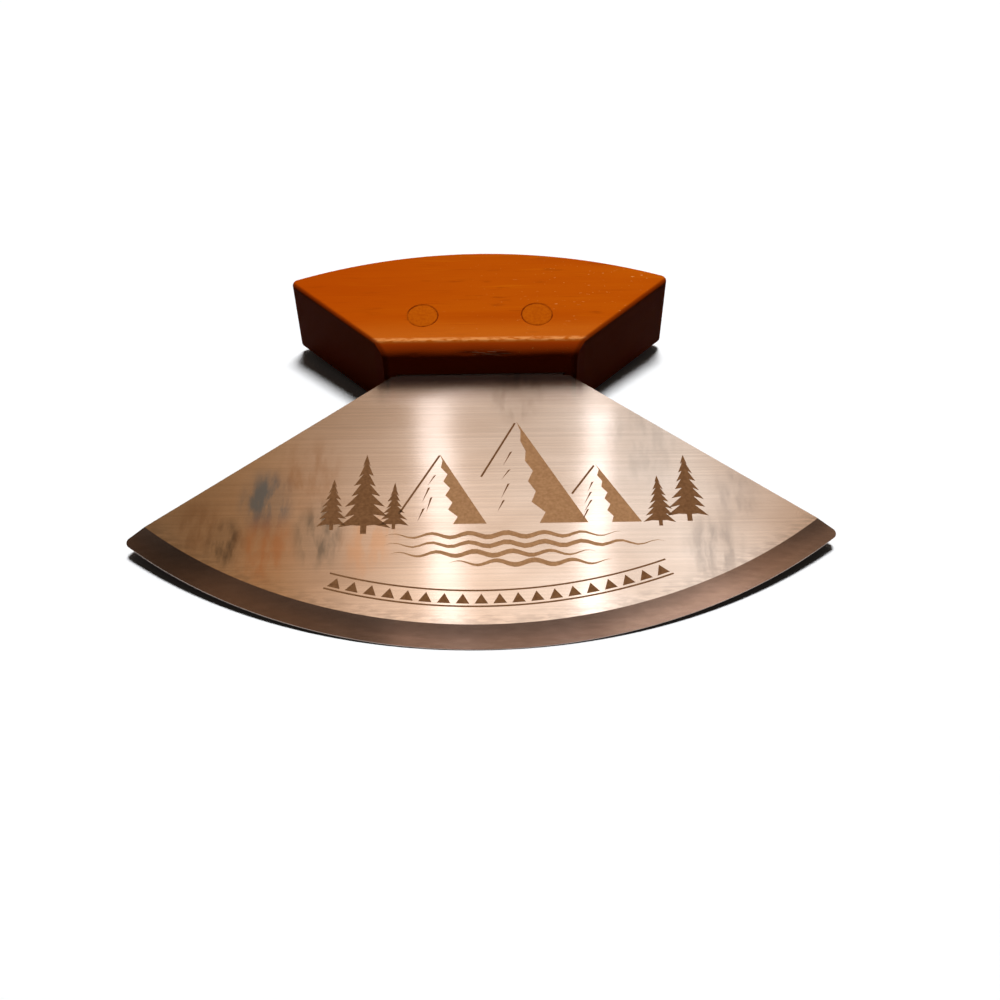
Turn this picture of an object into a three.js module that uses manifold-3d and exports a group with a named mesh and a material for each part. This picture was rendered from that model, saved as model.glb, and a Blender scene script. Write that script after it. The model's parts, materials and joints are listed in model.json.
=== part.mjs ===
// Ulu knife: a fan-shaped steel blade whose tang sits in a slotted hardwood handle, pinned by two dowels.
// Millimetres. The knife lies on its side on a table, on its ground edge and the handle's lower front edge.
// X runs from tip to tip, +Y from the edge to the handle, +Z up. The origin is the middle of its footprint.
// Each piece is drawn flat, in the plane of the blade, with the lowest point of the edge at 0, 0.

import * as THREE from 'three';
import { mergeVertices } from 'three/addons/utils/BufferGeometryUtils.js';
import Module from 'manifold-3d';

// Blade: one sheet of stainless steel, ground to an edge along the arc between its tips
const TIP_SPAN = 133.2; // between the tips, before they are rounded
const TIP_HEIGHT = 24.2; // of the tips above the lowest point of the edge
const TIP_ROUND = 1.2;
const BLADE_REACH = 64.7; // from the lowest point of the edge to the handle's underside
const NECK_WIDTH = 35.6; // of the blade where it meets the handle
const BLADE_THICKNESS = 1.6;
const BEVEL_WIDTH = 4.75; // of the ground band along the edge, on either side
const EDGE_LAND = 0.2; // thickness left at the very edge
const GRIND_STOCK = 5; // of the blank that is ground away below the edge
const TANG_MARGIN = 2; // of steel round the dowel holes
const TANG_CORNER = 2.5;

// Handle: one block of hardwood with a rounded nose round the blade, slanted ends and a round back
const HANDLE_THICKNESS = 18.2;
const HANDLE_LENGTH = 79.2; // between the end corners, before they are rounded
const UNDERSIDE_WIDTH = 39;
const SHOULDER_HEIGHT = 19.1; // of the end corners above the underside
const CROWN_HEIGHT = 27.1; // of the back above the underside
const CORNER_ROUND = 0.5; // of the end corners, seen on the flat sides
const EDGE_EASE = 0.8; // sanded round, along the ends and the back
const FRONT_ROUND = 5.4; // radius of the nose, from the underside to where it runs out on the flat sides
const FRONT_SETBACK = 1.8; // of the flat sides' front edges behind the underside

// Dowels: two wooden pins through handle and tang, cut flush with both sides
const DOWEL_DIAMETER = 6;
const DOWEL_SPACING = 23.1;
const DOWEL_HEIGHT = 8.7; // above the underside

// Fits
const SLOT_CLEARANCE = 0.3; // on each side of the tang and above it
const SHOULDER_CLEARANCE = 0.3; // between the blade's shoulders and the underside
const DOWEL_CLEARANCE = 0.25; // round each dowel

// Facets
const EDGE_FACETS = 256; // in the whole circle that the edge is a part of
const CROWN_FACETS = 40;
const CORNER_FACETS = 6;
const EASE_FACETS = 3;
const DOWEL_FACETS = 40;
const CUT_MARGIN = 1; // by which a cutting body stands out of the piece that it cuts

const WOOD_COLOUR = 0xa8560f;
const DOWEL_COLOUR = 0x94520f;
const STEEL_COLOUR = 0xb9aa9b;

const tangWidth = DOWEL_SPACING + DOWEL_DIAMETER + 2 * (DOWEL_CLEARANCE + TANG_MARGIN);
const tangTop = BLADE_REACH + DOWEL_HEIGHT + DOWEL_DIAMETER / 2 + DOWEL_CLEARANCE + TANG_MARGIN;
const dowelPlaces = [-1, 1].map(
  (side) => new THREE.Vector2(side * DOWEL_SPACING / 2, BLADE_REACH + DOWEL_HEIGHT),
);

const wasm = await Module();
wasm.setup();

// Closed body from a geometry whose shared corners are merged
function solid(geometry) {
  geometry.deleteAttribute('normal');
  geometry.deleteAttribute('uv');
  const merged = mergeVertices(geometry);
  const vertProperties = new Float32Array(merged.attributes.position.array);
  const triVerts = new Uint32Array(merged.index.array);
  return new wasm.Manifold(new wasm.Mesh({ numProp: 3, vertProperties, triVerts }));
}

function piece(name, body, colour, roughness, metalness) {
  const { vertProperties, triVerts } = body.getMesh();
  const geometry = new THREE.BufferGeometry();
  geometry.setAttribute('position', new THREE.BufferAttribute(vertProperties, 3));
  geometry.setIndex(new THREE.BufferAttribute(triVerts, 1));
  geometry.computeVertexNormals();
  const material = new THREE.MeshStandardMaterial({ color: colour, roughness, metalness });
  const mesh = new THREE.Mesh(geometry, material);
  mesh.name = name;
  return mesh;
}

function arc(centre, radius, from, to, facets) {
  return Array.from({ length: facets + 1 }, (_, step) => {
    const angle = from + (to - from) * step / facets;
    return new THREE.Vector2(Math.cos(angle), Math.sin(angle)).multiplyScalar(radius).add(centre);
  });
}

function mirrored(points) {
  return points.map((point) => new THREE.Vector2(-point.x, point.y)).reverse();
}

function angleOf(vector) {
  return Math.atan2(vector.y, vector.x);
}

// Circle centre and radius of the arc over a chord that is symmetric about X = 0. rise is the height of the
// arc's middle above the chord, and is negative for an arc that hangs below it.
function arcOver(halfChord, chordHeight, rise) {
  const radius = (halfChord ** 2 + rise ** 2) / (2 * Math.abs(rise));
  return { centre: new THREE.Vector2(0, chordHeight + rise - Math.sign(rise) * radius), radius };
}

// Round in the corner between a straight side and the circle that the side runs out to. inward is the side's
// normal that points into the piece. Gives the round's centre and the angles where it meets circle and side.
function roundAtCircle(sideStart, sideEnd, inward, circle, radius) {
  const along = sideEnd.clone().sub(sideStart).normalize();
  const start = sideStart.clone().addScaledVector(inward, radius).sub(circle.centre);
  const back = start.dot(along);
  const run = Math.sqrt(back ** 2 - start.lengthSq() + (circle.radius - radius) ** 2) - back;
  const centre = start.addScaledVector(along, run);
  return {
    centre: centre.clone().add(circle.centre),
    circleAngle: angleOf(centre),
    sideAngle: angleOf(inward.clone().negate()),
  };
}

// Plate of even thickness across Z = 0, with its two outlines rounded over by ease
function plate(outline, thickness, ease = 0) {
  const depth = thickness - 2 * ease;
  const geometry = new THREE.ExtrudeGeometry(new THREE.Shape(outline), {
    depth,
    bevelEnabled: ease > 0,
    bevelThickness: ease,
    bevelSize: ease,
    bevelOffset: -ease,
    bevelSegments: EASE_FACETS,
  });
  return solid(geometry.translate(0, 0, -depth / 2));
}

function dowelBody(place, radius, length) {
  const geometry = new THREE.CylinderGeometry(radius, radius, length, DOWEL_FACETS);
  return solid(geometry.rotateX(Math.PI / 2).translate(place.x, place.y, 0));
}

function withDowelHoles(body) {
  const radius = DOWEL_DIAMETER / 2 + DOWEL_CLEARANCE;
  return dowelPlaces.reduce(
    (cut, place) => cut.subtract(dowelBody(place, radius, HANDLE_THICKNESS + 2 * CUT_MARGIN)),
    body,
  );
}

// Flat blank: the tang, its shoulders and the slanted sides with round tips, with stock below the edge
function bladeBlank(edge) {
  const neck = new THREE.Vector2(NECK_WIDTH / 2, BLADE_REACH - SHOULDER_CLEARANCE);
  const tip = new THREE.Vector2(TIP_SPAN / 2, TIP_HEIGHT);
  const along = tip.clone().sub(neck).normalize();
  const inward = new THREE.Vector2(along.y, -along.x);
  const round = roundAtCircle(neck, tip, inward, edge, TIP_ROUND);
  const tangCorner = new THREE.Vector2(tangWidth / 2 - TANG_CORNER, tangTop - TANG_CORNER);
  const right = [
    new THREE.Vector2(TIP_SPAN / 2, -GRIND_STOCK),
    ...arc(round.centre, TIP_ROUND, round.circleAngle, round.sideAngle, CORNER_FACETS),
    neck,
    new THREE.Vector2(tangWidth / 2, neck.y),
    ...arc(tangCorner, TANG_CORNER, 0, Math.PI / 2, CORNER_FACETS),
  ];
  return plate([...right, ...mirrored(right)], BLADE_THICKNESS);
}

// Double cone whose rim is the cutting edge and whose slopes are the ground bevels
function grindCone(edge) {
  const slope = (BLADE_THICKNESS - EDGE_LAND) / 2 / BEVEL_WIDTH;
  const apex = EDGE_LAND / 2 + slope * edge.radius;
  const profile = [
    new THREE.Vector2(0, -apex),
    new THREE.Vector2(edge.radius, -EDGE_LAND / 2),
    new THREE.Vector2(edge.radius, EDGE_LAND / 2),
    new THREE.Vector2(0, apex),
  ];
  const geometry = new THREE.LatheGeometry(profile, EDGE_FACETS);
  return solid(geometry.rotateX(Math.PI / 2).translate(edge.centre.x, edge.centre.y, 0));
}

function blade() {
  const edge = arcOver(TIP_SPAN / 2, TIP_HEIGHT, -TIP_HEIGHT);
  const body = withDowelHoles(bladeBlank(edge).intersect(grindCone(edge)));
  return piece('blade', body, STEEL_COLOUR, 0.32, 1);
}

function handleBlock() {
  const underside = new THREE.Vector2(UNDERSIDE_WIDTH / 2, BLADE_REACH);
  const end = new THREE.Vector2(HANDLE_LENGTH / 2, BLADE_REACH + SHOULDER_HEIGHT);
  const back = arcOver(end.x, end.y, CROWN_HEIGHT - SHOULDER_HEIGHT);
  const along = end.clone().sub(underside).normalize();
  const inward = new THREE.Vector2(-along.y, along.x);
  const radius = CORNER_ROUND + EDGE_EASE;
  const round = roundAtCircle(underside, end, inward, back, radius);
  const corner = arc(round.centre, radius, round.sideAngle, round.circleAngle, CORNER_FACETS);
  const crown = arc(back.centre, back.radius, round.circleAngle, Math.PI - round.circleAngle, CROWN_FACETS);
  const right = [underside, ...corner.slice(0, -1)];
  return plate([...right, ...crown, ...mirrored(right)], HANDLE_THICKNESS, EDGE_EASE);
}

// Wood taken off one edge of the underside, side being +1 for the upper edge and -1 for the lower. The round
// leaves the underside smoothly and ends at the flat side in a crisp edge.
function frontRound(side) {
  const face = HANDLE_THICKNESS / 2;
  const turn = Math.acos(1 - FRONT_SETBACK / FRONT_ROUND);
  const centre = new THREE.Vector2(BLADE_REACH + FRONT_ROUND, face - FRONT_ROUND * Math.sin(turn));
  const upperProfile = [
    ...arc(centre, FRONT_ROUND, Math.PI, Math.PI - turn, CORNER_FACETS),
    new THREE.Vector2(BLADE_REACH + FRONT_SETBACK, face + CUT_MARGIN),
    new THREE.Vector2(BLADE_REACH - CUT_MARGIN, face + CUT_MARGIN),
    new THREE.Vector2(BLADE_REACH - CUT_MARGIN, centre.y),
  ];
  const profile = upperProfile.map((point) => new THREE.Vector2(point.x, side * point.y));
  const geometry = new THREE.ExtrudeGeometry(new THREE.Shape(profile), {
    depth: HANDLE_LENGTH,
    bevelEnabled: false,
  });
  const alongHandle = new THREE.Matrix4().makeBasis(
    new THREE.Vector3(0, 1, 0),
    new THREE.Vector3(0, 0, 1),
    new THREE.Vector3(1, 0, 0),
  );
  return solid(geometry.translate(0, 0, -HANDLE_LENGTH / 2).applyMatrix4(alongHandle));
}

function handle() {
  const slotTop = tangTop + SLOT_CLEARANCE;
  const slotBottom = BLADE_REACH - CUT_MARGIN;
  const slot = new THREE.BoxGeometry(
    tangWidth + 2 * SLOT_CLEARANCE,
    slotTop - slotBottom,
    BLADE_THICKNESS + 2 * SLOT_CLEARANCE,
  );
  const body = handleBlock()
    .subtract(frontRound(1))
    .subtract(frontRound(-1))
    .subtract(solid(slot.translate(0, (slotTop + slotBottom) / 2, 0)));
  return piece('handle', withDowelHoles(body), WOOD_COLOUR, 0.45, 0);
}

function dowel(name, place) {
  return piece(name, dowelBody(place, DOWEL_DIAMETER / 2, HANDLE_THICKNESS), DOWEL_COLOUR, 0.55, 0);
}

// Tilt at which the blade and the front edge of the handle's lower side are equally low. The blade touches the
// table with its edge, or with the bevel's upper rim where the bevel is steeper than the tilt.
function restTilt() {
  const handleLowPoint = new THREE.Vector2(BLADE_REACH + FRONT_SETBACK, -HANDLE_THICKNESS / 2);
  const bladeLowPoints = [
    new THREE.Vector2(0, -EDGE_LAND / 2),
    new THREE.Vector2(BEVEL_WIDTH, -BLADE_THICKNESS / 2),
  ];
  const tilts = bladeLowPoints.map((low) => {
    const span = handleLowPoint.clone().sub(low);
    return Math.atan2(-span.y, span.x);
  });
  return Math.min(...tilts);
}

const lying = new THREE.Group();
lying.rotation.x = restTilt();
lying.add(blade(), handle(), dowel('dowel_left', dowelPlaces[0]), dowel('dowel_right', dowelPlaces[1]));

const footprint = new THREE.Box3().setFromObject(lying, true);
const middle = footprint.getCenter(new THREE.Vector3());
lying.position.set(-middle.x, -middle.y, -footprint.min.z);

const knife = new THREE.Group();
knife.name = 'ulu_knife';
knife.add(lying);

export default knife;
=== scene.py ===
"""Ulu knife on a white table: brushed steel blade, ground bevel, oiled hardwood handle, two wooden dowels.

Each piece is drawn in the plane of the blade, in millimetres: x from tip to tip, u from the lowest point of
the edge towards the handle, w square to the blade, upwards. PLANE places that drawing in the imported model's
frame.
"""

import json
import math
import random

import bmesh
import bpy
import numpy as np
from mathutils import Matrix, Quaternion, Vector, noise


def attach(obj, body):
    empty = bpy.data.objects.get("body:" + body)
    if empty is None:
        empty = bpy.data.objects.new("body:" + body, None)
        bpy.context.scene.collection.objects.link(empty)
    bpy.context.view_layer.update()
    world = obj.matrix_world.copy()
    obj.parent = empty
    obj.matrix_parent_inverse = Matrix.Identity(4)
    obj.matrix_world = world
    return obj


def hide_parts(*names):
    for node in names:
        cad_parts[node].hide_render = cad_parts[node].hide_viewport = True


MM = 0.001

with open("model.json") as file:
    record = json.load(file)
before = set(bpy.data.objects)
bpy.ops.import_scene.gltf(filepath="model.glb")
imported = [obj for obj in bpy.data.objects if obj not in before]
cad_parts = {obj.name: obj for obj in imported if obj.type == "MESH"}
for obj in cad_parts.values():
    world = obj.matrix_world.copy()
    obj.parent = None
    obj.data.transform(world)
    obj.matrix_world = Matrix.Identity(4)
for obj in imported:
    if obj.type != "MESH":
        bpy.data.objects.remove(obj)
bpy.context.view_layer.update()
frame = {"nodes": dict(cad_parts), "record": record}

# Blade, as it is cut and ground
TIP_SPAN = 133.2  # between the tips, before they are rounded
TIP_HEIGHT = 24.2  # of the tips above the lowest point of the edge
TIP_ROUND = 1.2
NECK_WIDTH = 35.6  # where the blade meets the handle
BEVEL_WIDTH = 4.75
BEVEL_CREASE = 4  # degrees, fewer than the bevel turns from the sheet
BEVEL_HOLLOW = 0.05  # depth of the hollow that the wheel leaves in the bevel
EDGE_STRIP = 1.6  # of the bevel beside the edge, drawn in one strip with the rounded tips
EDGE_LAND = 0.2
TANG_MARGIN = 2.0  # of steel round the dowel holes
TANG_CORNER = 2.5

# Handle, as it is sawn and sanded
HANDLE_LENGTH = 79.2  # between the end corners, before they are rounded
UNDERSIDE_WIDTH = 39.0
SHOULDER_HEIGHT = 19.1  # of the end corners above the underside
CORNER_ROUND = 1.3
EDGE_EASE = 0.8
FRONT_ROUND = 5.4  # radius of the nose round the blade
FRONT_SETBACK = 1.8  # of the flat sides' front edges behind the underside
ARRIS_EASE = 0.6  # worn round on those edges
HAND_WAVER = 0.07  # by which the sanded nose strays from a straight line
WAVER_LENGTH = 6  # of that waver along x
WAVER_HEIGHT = 4  # of that waver along w

# Nicks in the nose: x, w, half length, half height and depth
NICKS = (
    (-2.6, 6.7, 3.2, 0.5, 0.07),
    (4.6, 6.5, 3.2, 0.5, 0.08),
    (-13.2, 6.5, 1.5, 0.4, 0.05),
)
NICK_CHIPS = (1.7, 3)  # in a millimetre along x and w
NICK_LAYER = 5  # of the noise, away from the waver's
NICK_UNEVENNESS = 0.6  # share of the depth by which chips differ

# Fits
SLOT_CLEARANCE = 0.3
SHOULDER_CLEARANCE = 0.3
DOWEL_CLEARANCE = 0.25
DOWEL_EASE = 0.15  # round on the dowels' ends
GLUE_SINK = 0.03  # of the glue below the handle's sides
GLUE_GAP = 0.01  # to the wood on either side of it
CUT_MARGIN = 1.0  # by which a cutter reaches past what it cuts

# Etched design: peaks and spruces over rippled water, and a border along the edge
DESIGN_SEED = 11  # of the ragged crests, spruces and gullies
ETCH_DEPTH = 0.05
ETCH_RISE = 0.012  # above the steel, so that the marks aren't lost in it
SHORE = 27.0  # height of the peaks' feet
PEAKS = (((-8, 44), 1.0), ((7, 52), 20.0), ((22, 41), 30.0))  # summit and x of the shaded side's foot
CREST_NOTCHES = 10
SLOPES = (  # lines up the lit sides, from the foot to the top
    ((-15.5, 29.5), (-8, 43.6)),
    ((0, 38.2), (6.7, 51.6)),
    ((17.2, 33.8), (21.7, 40.6)),
)
SLOPE_LINE = 0.4
GULLIES = (0.3, 0.48, 0.62, 0.78)  # shares of the way down from a summit to the shore
SPRUCES = ((-28, 26, 12), (-22, 25, 19), (-16.4, 26, 11), (33.5, 26, 12), (39, 27, 16))  # x, foot, height
SPRUCE_TIERS = 7
RIPPLES = ((4, 44), (8, 52), (2, 38), (9, 30))  # x and length, from the top one down
RIPPLE_TOP = 24.4
RIPPLE_SPACING = 2.1
RIPPLE_WIDTH = 1.1
RIPPLE_SWING = 0.5
RIPPLE_WAVES = 0.9  # radians in a millimetre
BORDER_DISTANCE = 8.4  # from the edge
BORDER_HEIGHT = 3.4
BORDER_LINE = 0.35
BORDER_START = math.radians(-107.5)
BORDER_END = math.radians(-68.5)
BORDER_TRIANGLES = 19
TRIANGLE_HALF = 0.36  # of a triangle's foot, as a share of the room for one
TRIANGLE_FOOT_GAP = 0.4  # from the triangles' feet to the outer line
TRIANGLE_TIP_GAP = 0.5  # from their tips to the inner line

# Marks on the blade, smudges from use and painted reflections: x, u and reach, shade and strength
SMUDGES_AND_REFLECTIONS = (
    (43, 21, 7, "#8f8780", 0.6),
    (48, 33, 6, "#98908a", 0.45),
    (7, 60, 7, "#97897c", 0.55),
    (31, 45, 10, "#a09890", 0.36),
    # From here on, to the left of the blade: painted reflections, blurred images of things beside it
    (-40.5, 33, 6.5, "#8496b0", 1.0),
    (-47.5, 23, 5, "#77726f", 0.9),
    (-40, 22, 7, "#c98f5e", 0.5),
    (-30, 25, 6.5, "#7f7e7a", 0.85),
    (-33, 39, 8, "#b08d6c", 0.5),
    (-53, 27, 6, "#a08672", 0.5),
    (-21, 23, 7, "#d9a878", 0.42),
)
WIPED_LENGTH = 1.5  # of a mark along u, for 1 along x
SCUFF_REACH = 4  # of the scuffs above the bevel
BRUSHED_UP_TO = 12  # below the handle, where the brushing starts to fade
UNBRUSHED_FROM = 3  # below the handle, where it has faded

# Sizes of the patterns along x, u and w
GRIT_LINES = (55, 0.4, 4)  # about 0.05 apart on the steel, but drawn as the finest that show
STEEL_CLOUDS = (22, 12, 7)
FINGER_WIPES = (1.8, 6.5, 3)  # wiped upwards, so longer along u
GRINDING_SCUFFS = (2.6, 0.8, 3)
BEVEL_LINES = (3, 0.7, 1)
ETCH_GRAINS = (0.5, 0.5, 0.5)
WOOD_BANDS = (70, 6, 8)
WOOD_FIBRES = (16, 0.55, 0.7)
DOWEL_GRAIN = (0.6, 0.6, 12)
GLUE_CLOUDS = (2.4, 2.4, 6)
RUBBED_NICKS = (7.0, 4.0, 0.9)  # reach of the pale place round the nicks
SURFACE_DEPTH = 0.05  # of brushing lines and wood fibres

# Marks in the wood: pattern sizes, where they start and are full, strength and shade
WOOD_MARKS = (
    (WOOD_FIBRES, 0.58, 0.74, 0.45, "#a03f02"),  # darker fibres
    ((16, 0.7, 0.7), 0.42, 0.26, 0.45, "#c26309"),  # paler fibres
    ((9, 1.5, 3), 0.6, 0.74, 0.45, "#8a3602"),  # smears
    ((1.6, 0.26, 0.26), 0.7, 0.78, 0.55, "#642502"),  # pores
)

# Smoothness of the drawn outlines
EDGE_STEPS = 180
HOLLOW_STEPS = 5
CROWN_STEPS = 120
CORNER_STEPS = 32
ROUND_STEPS = 12
PIN_STEPS = 72
FRONT_STEPS = 160
RIPPLE_STEPS = 40
BORDER_STEPS = 60
STRAIGHT_ON = 1e-4  # sine of a turn between two sides that counts as none

# Table, in metres
TABLE_HALF = 3.0
TABLE_WHOLE = 0.14  # distance from the knife up to which the card shows
TABLE_GONE = 0.5  # distance at which it has run out into the backdrop

# Lamp over the knife, in metres
OVERHEAD_PLACE = (0.12, 0.2, 2.0)
OVERHEAD_WIDTH = 0.35
OVERHEAD_BRIGHTNESS = 106

# Ceiling that the steel mirrors. A slope is how far a ray runs sideways or back for 1 upwards.
CEILING_LEFT, CEILING_RIGHT = -0.3, 0.3  # slopes sideways, at which the hues start and end
CEILING_HUES = (
    (0.05, "#55402d"),
    (0.22, "#9e744b"),
    (0.43, "#f8e1ce"),
    (0.76, "#fdf9f7"),
    (0.92, "#a48a74"),
)
CEILING_BRIGHTNESS = 2.0
FURTHER_HUES = ((0.1, "#a8855f"), (0.72, "#ebe1d9"), (0.95, "#cfb296"))
FURTHER_STARTS, FURTHER_WHOLE = 0.46, 0.68  # slopes back, between which those hues take over
LIT_STARTS, LIT_WHOLE = 0.3, 0.4  # slopes back, between which the dark ceiling turns to the lit one
FRONT_STARTS, FRONT_WHOLE = 0.03, -0.1  # Y of a ray's direction, between which the grey front takes over
BESIDE_STARTS, BESIDE_WHOLE = 0.46, 0.56  # X of it, between which the grey sides take over
WALL_STARTS, WALL_WHOLE = 0.6, 0.25  # Z of it, between which the white backdrop takes over

# Narrow tubes on that ceiling: place along X, shift of their aim, width, brightness and colour
TUBES = (
    (-0.082, 0.08, 0.052, 1.4, "#f2f5ff"),
    (0.163, -0.06, 0.040, 1.6, "#f2f5ff"),
)
TUBE_BEHIND = 0.95
TUBE_HEIGHT = 1.85
TUBE_LENGTH = 0.85

# Ceiling panels nearer to the knife, which the bevel mirrors: place along X, width, brightness and colour
BEVEL_PANELS = (
    (-0.48, 0.50, 0.30, "#ffc99c"),
    (0.02, 0.50, 1.18, "#ffd8bd"),
    (0.44, 0.34, 2.1, "#ffe6d4"),
    (0.71, 0.20, 0.8, "#ffd4b0"),
)
PANEL_BEHIND = 0.48
PANEL_HEIGHT = 1.95
PANEL_DEPTH = 0.34

# Camera, in metres, with its sensor and lens in millimetres
CAMERA_PLACE = Vector((2.68, -206.40, 195.67)) * MM
CAMERA_AIM = Vector((3.57, -8.57, 0)) * MM
CAMERA_ROLL = math.radians(-0.58)
CLIP_START = 0.01
SENSOR_WIDTH = 36
LENS_LENGTH = 51.5736


def mount(name):
    """A mount of the record."""
    return next(m for m in frame["record"]["mounts"] if m["name"] == name)


# The plane of the blade lies midway between the handle's two flat sides
ABOVE = Vector(mount("handle_upper_side")["axis"]).normalized()
REACH = Vector((0, ABOVE.z, -ABOVE.y))
MIDWAY = (Vector(mount("handle_upper_side")["pos_m"]) + Vector(mount("handle_lower_side")["pos_m"])) / 2


def drawn(node, origin):
    """A node's corners in the plane of the blade, in millimetres from an origin in the frame."""
    corners = [v.co - origin for v in frame["nodes"][node].data.vertices]
    return np.array([(c.x, c.dot(REACH), c.dot(ABOVE)) for c in corners]) / MM


ORIGIN = MIDWAY + REACH * drawn("blade", MIDWAY)[:, 1].min() * MM
PLANE = Matrix((
    (1, REACH.x, ABOVE.x, ORIGIN.x),
    (0, REACH.y, ABOVE.y, ORIGIN.y),
    (0, REACH.z, ABOVE.z, ORIGIN.z),
    (0, 0, 0, 1),
))

BLADE_HALF = float(drawn("blade", ORIGIN)[:, 2].max())
HANDLE_HALF = float(drawn("handle", ORIGIN)[:, 2].max())
UNDERSIDE = float(drawn("handle", ORIGIN)[:, 1].min())
CROWN = float(drawn("handle", ORIGIN)[:, 1].max())
DOWELS = {}
for dowel_node in ("dowel_left", "dowel_right"):
    low = drawn(dowel_node, ORIGIN).min(axis=0)
    high = drawn(dowel_node, ORIGIN).max(axis=0)
    DOWELS[dowel_node] = Vector((low + high)[:2] / 2)
DOWEL_RADIUS = float((high - low)[0]) / 2

# The tang reaches round the dowel holes
HOLE_RADIUS = DOWEL_RADIUS + DOWEL_CLEARANCE
TANG_HALF = (DOWELS["dowel_right"] - DOWELS["dowel_left"]).x / 2 + HOLE_RADIUS + TANG_MARGIN
TANG_TOP = DOWELS["dowel_right"].y + HOLE_RADIUS + TANG_MARGIN

# The nose leaves the underside smoothly and meets the flat sides at an angle
NOSE_TURN = math.acos(1 - FRONT_SETBACK / FRONT_ROUND)
NOSE_MEET = math.pi / 2 - NOSE_TURN
NOSE_CENTRE = HANDLE_HALF - FRONT_ROUND * math.sin(NOSE_TURN)
ARRIS = UNDERSIDE + FRONT_SETBACK

# The way that the right-hand sawn end of the handle faces
END_OUTWARDS = Vector((SHOULDER_HEIGHT, (UNDERSIDE_WIDTH - HANDLE_LENGTH) / 2)).normalized()


# Drawing

def arc(centre, radius, start, end, steps):
    """Points of an arc from one angle to another."""
    angles = np.linspace(start, end, steps + 1)
    return [centre + Vector((math.cos(a), math.sin(a))) * radius for a in angles]


def mirrored(points):
    """Points of a right half as those of the left half, in the order that goes on round an outline."""
    return [Vector((-p.x, p.y)) for p in reversed(points)]


def angle_of(direction):
    """Angle of a direction from x."""
    return math.atan2(direction.y, direction.x)


def circle_over(half_chord, chord_height, rise):
    """Centre and radius of the arc over a chord about x = 0. A negative rise hangs below the chord."""
    radius = (half_chord ** 2 + rise ** 2) / (2 * abs(rise))
    return Vector((0, chord_height + rise - math.copysign(radius, rise))), radius


EDGE_CENTRE, EDGE_RADIUS = circle_over(TIP_SPAN / 2, TIP_HEIGHT, -TIP_HEIGHT)


def run_to_circle(start, along, centre, radius):
    """Distance from a point inside a circle to the circle, along a direction."""
    offset = start - centre
    back = offset.dot(along)
    return math.sqrt(back ** 2 - offset.length_squared + radius ** 2) - back


def corner_round(start, end, inward, centre, radius, round_radius, steps):
    """Round between a straight side and the circle that it runs out to, from the circle to the side."""
    along = (end - start).normalized()
    begin = start + inward * round_radius
    middle = begin + along * run_to_circle(begin, along, centre, radius - round_radius)
    return arc(middle, round_radius, angle_of(middle - centre), angle_of(-inward), steps)


def inset(outline, distances):
    """Outline moved inwards. distances holds one value for each side, from a point to the next one."""
    count = len(outline)
    normals = []
    for i in range(count):
        along = (outline[(i + 1) % count] - outline[i]).normalized()
        normals.append(Vector((-along.y, along.x)))
    moved = []
    for i in range(count):
        before, after = normals[i - 1], normals[i]
        turn = before.cross(after)
        if abs(turn) < STRAIGHT_ON:
            moved.append(outline[i] + after * distances[i])
            continue
        # Meeting point of the two moved sides
        first = distances[i - 1] / turn
        second = distances[i] / turn
        moved.append(outline[i] + Vector((
            first * after.y - second * before.y,
            second * before.x - first * after.x,
        )))
    return moved


# Meshes

DRAWN_AT = "drawn_at"


def stacked(rings, body=None):
    """Closed body through rings of points that lie one above the other, added to a body or new."""
    body = body or bmesh.new()
    rows = [[body.verts.new(Vector(p) * MM) for p in ring] for ring in rings]
    count = len(rows[0])
    for lower, upper in zip(rows, rows[1:]):
        for i in range(count):
            j = (i + 1) % count
            body.faces.new((lower[i], lower[j], upper[j], upper[i]))
    body.faces.new(list(reversed(rows[0])))
    body.faces.new(rows[-1])
    return body


def level(outline, w):
    """Outline as a ring at a height."""
    return [(p.x, p.y, w) for p in outline]


def pin(centre, radius, half_length, ease=0.0):
    """Round pin square to the blade, with its ends eased over."""
    def ring(r, w):
        return level(arc(centre, r, 0, 2 * math.pi, PIN_STEPS)[:-1], w)

    if not ease:
        return stacked([ring(radius, -half_length), ring(radius, half_length)])
    turns = np.linspace(0, math.pi / 2, ROUND_STEPS // 2 + 1)
    end = [(radius - ease * (1 - math.cos(t)), half_length - ease * (1 - math.sin(t))) for t in turns]
    lower = [ring(r, -w) for r, w in reversed(end)]
    return stacked(lower + [ring(r, w) for r, w in end])


def cut_away(body, cutters):
    """Takes the cutters' bodies out of a body."""
    piece = shown("cut_piece", body)
    for cutter in cutters:
        tool = shown("cut_tool", cutter)
        modifier = piece.modifiers.new("cut", "BOOLEAN")
        modifier.operation = "DIFFERENCE"
        modifier.solver = "EXACT"
        modifier.object = tool
        bpy.context.view_layer.update()
        evaluated = piece.evaluated_get(bpy.context.evaluated_depsgraph_get())
        result = bpy.data.meshes.new_from_object(evaluated)
        piece.modifiers.clear()
        piece.data = result
        bpy.data.objects.remove(tool)
    done = bmesh.new()
    done.from_mesh(piece.data)
    bpy.data.objects.remove(piece)
    return done


def shown(name, body):
    """A drawn body as an object in the scene."""
    mesh = bpy.data.meshes.new(name)
    body.to_mesh(mesh)
    body.free()
    piece = bpy.data.objects.new(name, mesh)
    bpy.context.scene.collection.objects.link(piece)
    return piece


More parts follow.
